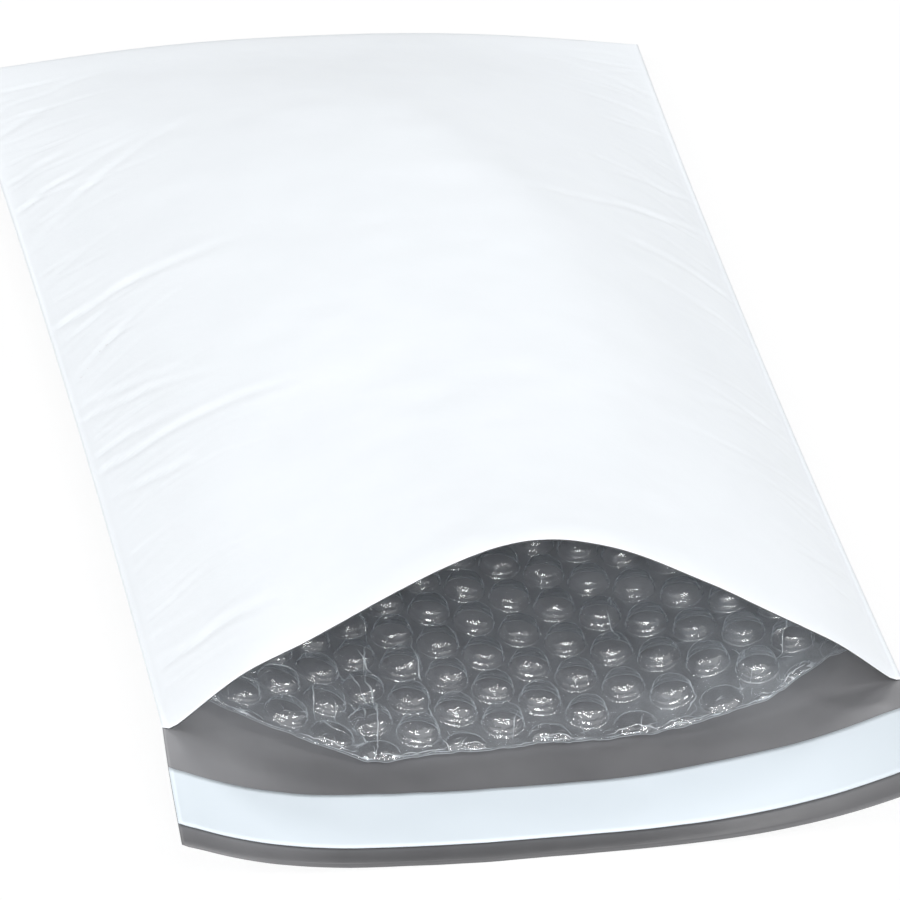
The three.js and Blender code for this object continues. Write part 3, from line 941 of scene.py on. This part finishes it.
def add_scratches(sheet, rng, zones):
    seed = 500
    for low, high, near, far, count in zones:
        for _ in range(count):
            x = rng.uniform(low, high)
            edge = float(back_edge((x - centre_x(0.0)) / half_width(0.0)))
            s = edge + rng.uniform(near, far)
            angle, length = rng.normal(0.9, 0.7), rng.uniform(1.6, 5.5)
            bent = angle + rng.uniform(-0.6, 0.6)
            middle = (x + 0.5 * length * math.cos(angle), s + 0.5 * length * math.sin(angle))
            end = (middle[0] + 0.5 * length * math.cos(bent), middle[1] + 0.5 * length * math.sin(bent))
            seed += 3
            width, haze = rng.uniform(0.05, 0.11), rng.uniform(0.3, 0.8)
            add_crease(sheet, [(x, s), middle, end], seed, width, haze)


def paint_seal(piece, values):
    """Marks where the film is welded, cut or handled, which makes it milky there, and where it carries
    painted reflection.
    """
    attribute = piece.data.attributes.new("seal", "FLOAT", "POINT")
    attribute.data.foreach_set("value", values.astype(np.float32).ravel())


# Corners of the mesh that lie closer than this are joined
JOIN_DISTANCE = 0.03


def tidy_mesh(piece):
    """Joins corners that trimming laid on each other and drops what they leave behind."""
    mesh = bmesh.new()
    mesh.from_mesh(piece.data)
    bmesh.ops.remove_doubles(mesh, verts=mesh.verts, dist=JOIN_DISTANCE * MM)
    bmesh.ops.dissolve_degenerate(mesh, edges=mesh.edges, dist=JOIN_DISTANCE * MM)
    loose = [v for v in mesh.verts if not v.link_faces]
    bmesh.ops.delete(mesh, geom=loose, context="VERTS")
    mesh.to_mesh(piece.data)
    mesh.free()


# The backing film's grid: columns, and rows on the front panel
BACKING_COLUMNS, BACKING_FRONT_ROWS = 141, 170


def backing_rows():
    """Pairs of shares of the half width and places along the sheet, row by row."""
    columns = np.linspace(-1, 1, BACKING_COLUMNS)
    edge_rows = [0, 0.0006, 0.0014, 0.003]
    fold_end = SHEET_PANEL + SHEET_FOLD

    def across(place):
        return columns * lining_limit(sheet_y(np.array(0.0), np.array(place)))

    for share in np.concatenate([edge_rows, np.linspace(0.008, 0.3, 38), np.linspace(0.32, 1, 40)]):
        u = across(share * SHEET_PANEL)
        yield u, lerp(back_edge(u), SHEET_PANEL, share)
    for step in np.linspace(0, 1, FOLD_ROWS)[1:-1]:
        u = columns * lining_limit(POCKET_DEPTH)
        yield u, np.full_like(u, SHEET_PANEL + step * SHEET_FOLD)
    for share in np.linspace(0, 1, BACKING_FRONT_ROWS):
        u = across(lerp(fold_end, SHEET_LENGTH, share))
        yield u, lerp(fold_end, front_edge(u), share)


def make_backing_film(material):
    grid = np.array([sheet_point(u, s, BACKING_DEPTH) for u, s in backing_rows()])
    faces = grid_faces(*grid.shape[:2])
    piece = make_piece("lining_backing", grid.reshape(-1, 3), faces, [material])
    seal = np.zeros(grid.shape[:2])
    seal[:3] = np.array([0.8, 0.7, 0.2])[:, None]
    paint_seal(piece, seal)
    return piece


# Flap trim: strips that follow the curved flap from side to side
STRIP_COLUMNS, STRIP_ROWS = 141, 15


def make_flap_strip(name, span, reach, layer, material):
    u = np.linspace(-reach, reach, STRIP_COLUMNS)
    places = np.linspace(span[1], span[0], STRIP_ROWS)

    def face(depth):
        rows = [back_point(u, -place - STRIP_BOW * (1 - u * u), depth) for place in places]
        return np.array(rows)

    points, faces, kinds = closed_film(face(layer[0]), face(layer[1]))
    return make_piece(name, points, faces, [material], flat_faces=kinds == 2)


# Materials

# Clear film: colours of its reflections and its milky parts, and the share it mirrors edge on
MIRROR_TINT = (0.97, 0.99, 1.0, 1)
MILKY_TINT = (0.88, 0.93, 0.97, 1)
GRAZING_MIRROR = 0.45


class Graph:
    """The shader nodes of a material or of the world; inputs are plain values or other nodes' sockets."""

    def __init__(self, owner):
        owner.use_nodes = True
        self.nodes, self.links = owner.node_tree.nodes, owner.node_tree.links
        self.nodes.clear()

    def fill(self, node, inputs):
        """Sets a node's inputs; one that is None stays as it is."""
        for name, value in inputs.items():
            if isinstance(value, bpy.types.NodeSocket):
                self.links.new(value, node.inputs[name])
            elif value is not None:
                node.inputs[name].default_value = value

    def add(self, kind, inputs=None):
        node = self.nodes.new("ShaderNode" + kind)
        self.fill(node, inputs or {})
        return node

    def finish(self, surface, output="OutputMaterial"):
        self.add(output, {"Surface": surface})

    def place(self):
        return self.add("TexCoord").outputs["Object"]

    def noise(self, scale, detail):
        inputs = {"Vector": self.place(), "Scale": scale, "Detail": detail}
        return self.add("TexNoise", inputs).outputs["Fac"]

    def ramp(self, source, low, high, from_low=0.3, from_high=0.7):
        limits = {"From Min": from_low, "From Max": from_high, "To Min": low, "To Max": high}
        return self.add("MapRange", {"Value": source, **limits}).outputs["Result"]

    def calculate(self, operation, first, second):
        node = self.add("Math", {0: first, 1: second})
        node.operation = operation
        return node.outputs["Value"]

    def facing(self, normal=None):
        """0 where the film faces the viewer, up to 1 where it is seen edge on."""
        return self.add("LayerWeight", {"Blend": 0.5, "Normal": normal}).outputs["Facing"]

    def bump(self, height, distance, strength, normal=None):
        inputs = {"Height": height, "Distance": distance, "Strength": strength, "Normal": normal}
        return self.add("Bump", inputs).outputs["Normal"]

    def mix_colours(self, factor, first, second, blend_type="MIX"):
        node = self.add("Mix")
        node.data_type, node.blend_type = "RGBA", blend_type
        self.fill(node, {"Factor": factor, "A": first, "B": second})
        return node.outputs["Result"]

    def mix_shaders(self, factor, first, second):
        return self.add("MixShader", {"Fac": factor, 1: first, 2: second}).outputs["Shader"]


def shade_along(graph, colour, axis, start, end, share):
    """Painted light and shade along an axis: the colour as it is before the start, times the share past
    the end, and a blend in between.
    """
    place = graph.add("SeparateXYZ", {"Vector": graph.place()})
    tone = graph.ramp(place.outputs[axis], 1.0, share, start, end)
    return graph.mix_colours(1.0, colour, tone, "MULTIPLY")


def film_material(name, low, high, roughness, specular, grain, painted_shades=()):
    """Opaque plastic film with faint clouding and a fine uneven surface, with painted light and shade
    along given axes.
    """
    material = bpy.data.materials.new(name)
    graph = Graph(material)
    clouds = graph.ramp(graph.noise(45, 4), 0, 1)
    colour = graph.mix_colours(clouds, (*low, 1), (*high, 1))
    for shade in painted_shades:
        colour = shade_along(graph, colour, *shade)
    coarse = graph.bump(graph.noise(300, 2), 0.0002, grain)
    fine = graph.bump(graph.noise(1500, 1), 0.00003, grain, coarse)
    surface = {
        "Base Color": colour,
        "Roughness": graph.ramp(graph.noise(160, 3), *roughness),
        "Specular IOR Level": specular,
        "Normal": fine,
    }
    graph.finish(graph.add("BsdfPrincipled", surface).outputs["BSDF"])
    return material


def milky_light(graph):
    """Light that a milky film scatters to both sides."""
    near_side = graph.add("BsdfDiffuse", {"Color": MILKY_TINT})
    far_side = graph.add("BsdfTranslucent", {"Color": MILKY_TINT})
    return graph.mix_shaders(0.5, near_side.outputs["BSDF"], far_side.outputs["BSDF"])


def slack_relief(graph, wrinkle):
    """Uneven film: wide slack areas everywhere and fine crinkles in patches."""
    patches = graph.ramp(graph.noise(330, 1), 0.0, 1.0, 0.48, 0.6)
    crinkles = graph.calculate("MULTIPLY", graph.noise(1700, 1), patches)
    slack = graph.bump(graph.noise(700, 2), 0.00025, wrinkle)
    return graph.bump(crinkles, 0.0003, 2.2 * wrinkle, slack)


def clear_film_material(name, tint, haze, edge_haze, roughness, sheen, wrinkle):
    """Thin clear film: it mirrors by angle, lets the rest through, and its sealed rims are milky."""
    material = bpy.data.materials.new(name)
    graph = Graph(material)
    relief = slack_relief(graph, wrinkle)
    gloss = graph.add("BsdfGlossy", {"Color": MIRROR_TINT, "Roughness": roughness, "Normal": relief})
    steep = graph.calculate("POWER", graph.facing(relief), 5)
    mirror = graph.ramp(steep, sheen, GRAZING_MIRROR, 0.0, 1.0)
    seal = graph.add("Attribute")
    seal.attribute_name = "seal"
    edge = graph.ramp(graph.facing(), haze, haze + edge_haze, 0.55, 0.95)
    milkiness = graph.calculate("ADD", edge, seal.outputs["Fac"])
    milkiness.node.use_clamp = True
    clear = graph.add("BsdfTransparent", {"Color": (*tint, 1)})
    body = graph.mix_shaders(milkiness, clear.outputs["BSDF"], milky_light(graph))
    graph.finish(graph.mix_shaders(mirror, body, gloss.outputs["BSDF"]))
    return material


# Painted light and shade on the film and the paper in the row's frame: axis, start and end in metres,
# share past the end
GREY_FILM_PAINTED_LIGHT = [
    # Painted light deep in the pouch, where the lamps light the grey film too little
    ("Y", -0.124, -0.066, 2.7),
    # Painted shade at the flap's end, which the lamps light more than the rest of the flap
    ("Y", -0.146, -0.155, 0.56),
    # Painted reflection of bright surroundings: lighter towards the left side, meant for the flap's left
    # part
    ("X", -0.050, -0.070, 1.5),
    # Painted highlight: lighter towards the right side, where the flap's dents catch the light
    ("X", 0.020, 0.055, 1.15),
]
# Painted shade on the liner: darker towards its right end, which curls up towards the lamps, and a little
# towards its left end
LINER_PAINTED_SHADE = [("X", 0.020, 0.080, 0.75), ("X", -0.020, -0.080, 0.94)]

white_film = film_material(
    "white_film",
    (0.82, 0.85, 0.88),
    (0.84, 0.87, 0.90),
    roughness=(0.42, 0.52),
    specular=0.5,
    grain=0.3,
)
# The grey inner film gets painted light deep in the pouch and at both sides, and painted shade at the
# flap's end
grey_film = film_material(
    "grey_inner_film",
    (0.158, 0.158, 0.165),
    (0.194, 0.194, 0.201),
    roughness=(0.30, 0.40),
    specular=0.5,
    grain=0.12,
    painted_shades=GREY_FILM_PAINTED_LIGHT,
)
# Painted shade: a near-black colour for the film's cut edge, where the lamps light the rim from the front
cut_edge = film_material(
    "film_edge_painted_shade",
    (0.07, 0.07, 0.074),
    (0.08, 0.08, 0.085),
    roughness=(0.5, 0.6),
    specular=0.3,
    grain=0.1,
)
# The liner paper gets painted shade towards both ends
liner_paper = film_material(
    "release_liner_paper",
    (0.80, 0.875, 0.935),
    (0.815, 0.89, 0.95),
    roughness=(0.40, 0.5),
    specular=0.4,
    grain=0.1,
    painted_shades=LINER_PAINTED_SHADE,
)
hot_melt = film_material(
    "hot_melt_adhesive",
    (0.62, 0.60, 0.50),
    (0.70, 0.68, 0.58),
    roughness=(0.2, 0.35),
    specular=0.5,
    grain=1.0,
)
bubble_film = clear_film_material(
    "bubble_film",
    (0.985, 0.99, 0.995),
    haze=0.01,
    edge_haze=0.75,
    roughness=0.03,
    sheen=0.13,
    wrinkle=0.4,
)
backing_film = clear_film_material(
    "backing_film",
    (0.975, 0.98, 0.985),
    haze=0.02,
    edge_haze=0.1,
    roughness=0.15,
    sheen=0.04,
    wrinkle=0.25,
)

outer = make_outer_film(white_film, grey_film, cut_edge)
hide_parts("outer_film")

bubbles = make_bubble_film(bubble_film)
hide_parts("lining_bubble_film")

backing = make_backing_film(backing_film)
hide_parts("lining_backing_film")

adhesive = make_flap_strip("adhesive", ADHESIVE_SPAN, ADHESIVE_REACH, ADHESIVE_LAYER, hot_melt)
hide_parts("adhesive_strip")

liner = make_flap_strip("liner", LINER_SPAN, LINER_REACH, LINER_LAYER, liner_paper)
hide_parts("release_liner")


# Floor, world, lamps and camera, in metres and watts

FLOOR_HALF_SIZE = 6.0
WORLD_LEVEL = 0.355
AIM = (0, -0.08, 0)

# Soft boxes: name, place, aim, size and power
LAMPS = [
    ("key_front", (-0.80, -2.15, 1.68), AIM, (2.2, 0.15), 21),
    ("front_low", (-0.45, -2.45, 1.12), AIM, (1.8, 0.12), 13),
    ("side_left", (-1.9, -0.65, 1.45), AIM, (0.9, 0.25), 13),
    ("side_right", (1.7, -1.0, 1.45), AIM, (0.9, 0.30), 15),
    ("top_back", (0.5, 1.1, 1.9), (0, -0.05, 0), (1.3, 0.45), 9),
]

# Small lamps that the clear bubbles mirror as separate bright dots: azimuth and elevation
SPARK_LAMPS = [(-62, 70), (-15, 74), (32, 70), (-46, 54), (-12, 58), (22, 55)]
SPARK_DISTANCE, SPARK_SIZE, SPARK_POWER = 2.2, 0.12, 1.55

# The photograph's long lens, from the front left and above, rolled a few degrees
CAMERA_PLACE = (-0.23162, -0.87465, 0.64452)
CAMERA_AZIMUTH, CAMERA_ELEVATION, CAMERA_ROLL = -15.225, 35.771, 5.7
CAMERA_LENS, CAMERA_SENSOR = 187.01, 36


def mostly_white(graph, share):
    """Factor that is a share for rays from the camera, glossy and clear surfaces, and 0 for others."""
    path = graph.add("LightPath").outputs
    seen = graph.calculate("MAXIMUM", path["Is Camera Ray"], path["Is Glossy Ray"])
    seen = graph.calculate("MAXIMUM", seen, path["Is Transmission Ray"])
    return graph.calculate("MULTIPLY", seen, share)


def make_floor():
    mesh = bpy.data.meshes.new("floor")
    near, far = -FLOOR_HALF_SIZE, FLOOR_HALF_SIZE
    mesh.from_pydata([(near, near, 0), (far, near, 0), (far, far, 0), (near, far, 0)], [], [(0, 1, 2, 3)])
    floor = bpy.data.objects.new("floor", mesh)
    floor.location.z = -0.0002
    bpy.context.scene.collection.objects.link(floor)
    material = bpy.data.materials.new("floor_white")
    graph = Graph(material)
    paint = graph.add("BsdfDiffuse", {"Color": (0.88, 0.88, 0.88, 1)})
    glow = graph.add("Emission", {"Strength": 1.02})
    share = mostly_white(graph, 0.85)
    graph.finish(graph.mix_shaders(share, paint.outputs["BSDF"], glow.outputs["Emission"]))
    mesh.materials.append(material)


def make_world(level):
    world = bpy.data.worlds.new("studio")
    bpy.context.scene.world = world
    graph = Graph(world)
    room = graph.add("Background", {"Color": (0.97, 0.985, 1.0, 1), "Strength": level})
    white = graph.add("Background", {"Color": (1, 1, 1, 1), "Strength": 1.0})
    share = mostly_white(graph, 1.0)
    surface = graph.mix_shaders(share, room.outputs["Background"], white.outputs["Background"])
    graph.finish(surface, "OutputWorld")


def add_lamp(name, place, target, size, power):
    data = bpy.data.lights.new(name, "AREA")
    data.shape = "RECTANGLE"
    data.size, data.size_y = size
    data.energy = power
    lamp = bpy.data.objects.new(name, data)
    lamp.location = place
    lamp.rotation_euler = (Vector(target) - Vector(place)).to_track_quat("-Z", "Y").to_euler()
    bpy.context.scene.collection.objects.link(lamp)


def towards(azimuth, elevation):
    """Direction from the object to a place that is turned and raised by these degrees."""
    turn, lift = math.radians(azimuth), math.radians(elevation)
    return Vector((math.sin(turn) * math.cos(lift), -math.cos(turn) * math.cos(lift), math.sin(lift)))


def add_spark_lamp(name, azimuth, elevation):
    place = Vector(AIM) + SPARK_DISTANCE * towards(azimuth, elevation)
    add_lamp(name, place, AIM, (SPARK_SIZE, SPARK_SIZE), SPARK_POWER)


def make_camera():
    forward = -towards(CAMERA_AZIMUTH, CAMERA_ELEVATION)
    roll = math.radians(CAMERA_ROLL)
    level = forward.cross(Vector((0, 0, 1))).normalized()
    upright = level.cross(forward)
    right = level * math.cos(roll) + upright * math.sin(roll)
    up = upright * math.cos(roll) - level * math.sin(roll)
    data = bpy.data.cameras.new("camera")
    data.sensor_width = CAMERA_SENSOR
    data.lens = CAMERA_LENS
    data.clip_end = 50
    camera = bpy.data.objects.new("camera", data)
    axes = Matrix((right, up, -forward)).transposed().to_4x4()
    camera.matrix_world = Matrix.Translation(Vector(CAMERA_PLACE)) @ axes
    bpy.context.scene.collection.objects.link(camera)
    bpy.context.scene.camera = camera


make_floor()
make_world(WORLD_LEVEL)
for values in LAMPS:
    add_lamp(*values)
for number, (azimuth, elevation) in enumerate(SPARK_LAMPS):
    add_spark_lamp(f"spark_{number}", azimuth, elevation)
make_camera()

scene = bpy.context.scene
scene.view_settings.view_transform = "Standard"
scene.cycles.transparent_max_bounces = 24
